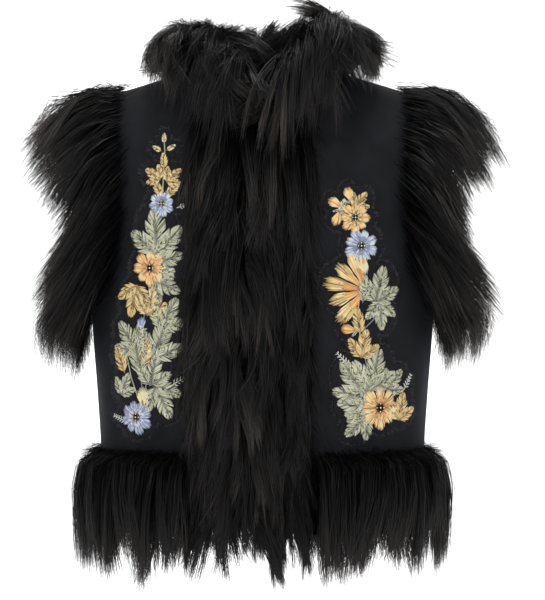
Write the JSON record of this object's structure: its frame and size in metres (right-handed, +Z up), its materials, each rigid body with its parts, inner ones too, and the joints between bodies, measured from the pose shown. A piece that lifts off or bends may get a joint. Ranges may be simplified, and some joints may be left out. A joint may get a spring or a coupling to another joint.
{
  "type": "vest",
  "caption": "Black cloth vest, filled out as worn, with long fur at the collar, front edges, armholes and hem and an embroidered floral spray on each front.",
  "frame": {"origin": "midway between the neck ends of the two shoulder seams, where the wearer's shoulders carry the vest", "axes": "+Z up, the front faces -Y, +X towards the wearer's left"},
  "size_m": [0.5776, 0.303, 0.6613],
  "materials": {
    "wool": "smooth matt wool cloth",
    "fur": "long glossy hair",
    "embroidery": "satin stitch in several colours on dark net"
  },
  "bodies": {
    "root": {"back": "wool", "front_right": "wool", "front_left": "wool", "fur_collar": "fur", "fur_front_right": "fur", "fur_front_left": "fur", "fur_armhole_right": "fur", "fur_armhole_left": "fur", "fur_hem": "fur", "applique_right": "embroidery", "applique_left": "embroidery"}
  },
  "joints": []
}
